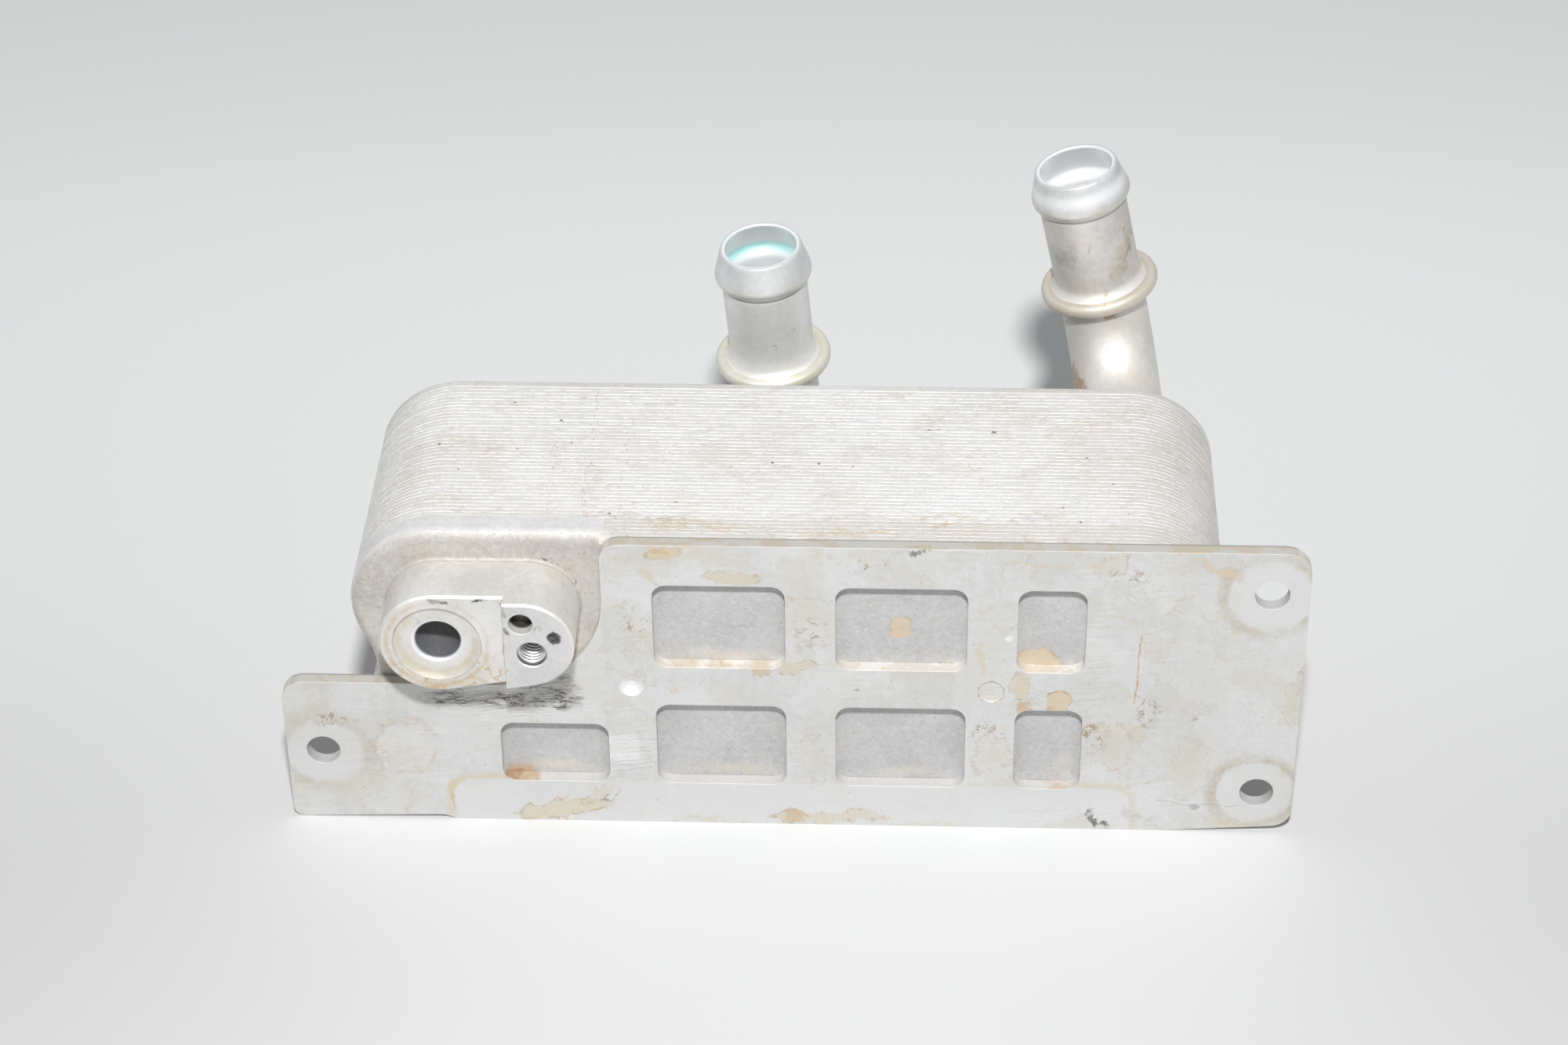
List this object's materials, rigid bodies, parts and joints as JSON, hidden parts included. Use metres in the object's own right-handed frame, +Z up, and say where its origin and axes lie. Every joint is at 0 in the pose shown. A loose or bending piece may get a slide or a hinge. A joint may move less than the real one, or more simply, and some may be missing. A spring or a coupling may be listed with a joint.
{
  "type": "air conditioning condenser",
  "caption": "Liquid-cooled air conditioning condenser: brazed plate stack on a flat windowed bracket, with refrigerant port blocks and beaded hose spigots.",
  "frame": {"origin": "centre of the bracket's left bolt hole at the bracket's front face", "axes": "+X along the bracket from its narrow left arm to its right end, +Y back from the bracket through the plate stack, +Z up, the way the hose spigots point"},
  "size_m": [0.27, 0.1502, 0.141],
  "materials": {
    "mounting_bracket": "satin",
    "front_end_plate": "satin",
    "core_plates": "matte",
    "back_end_plate": "satin",
    "port_blocks": "satin",
    "coolant_tubes": "satin"
  },
  "bodies": {
    "root": {"mounting_bracket": "mounting_bracket", "front_end_plate": "front_end_plate", "core_plate_01": "core_plates", "core_plate_02": "core_plates", "core_plate_03": "core_plates", "core_plate_04": "core_plates", "core_plate_05": "core_plates", "core_plate_06": "core_plates", "core_plate_07": "core_plates", "core_plate_08": "core_plates", "core_plate_09": "core_plates", "core_plate_10": "core_plates", "core_plate_11": "core_plates", "core_plate_12": "core_plates", "core_plate_13": "core_plates", "core_plate_14": "core_plates", "core_plate_15": "core_plates", "core_plate_16": "core_plates", "core_plate_17": "core_plates", "core_plate_18": "core_plates", "core_plate_19": "core_plates", "core_plate_20": "core_plates", "core_plate_21": "core_plates", "core_plate_22": "core_plates", "core_plate_23": "core_plates", "core_plate_24": "core_plates", "core_plate_25": "core_plates", "core_plate_26": "core_plates", "core_plate_27": "core_plates", "core_plate_28": "core_plates", "core_plate_29": "core_plates", "core_plate_30": "core_plates", "core_plate_31": "core_plates", "core_plate_32": "core_plates", "core_plate_33": "core_plates", "core_plate_34": "core_plates", "core_plate_35": "core_plates", "core_plate_36": "core_plates", "core_plate_37": "core_plates", "core_plate_38": "core_plates", "back_end_plate": "back_end_plate", "refrigerant_inlet_block": "port_blocks", "refrigerant_outlet_block": "port_blocks", "coolant_inlet_tube": "coolant_tubes", "coolant_outlet_tube": "coolant_tubes"}
  },
  "joints": []
}
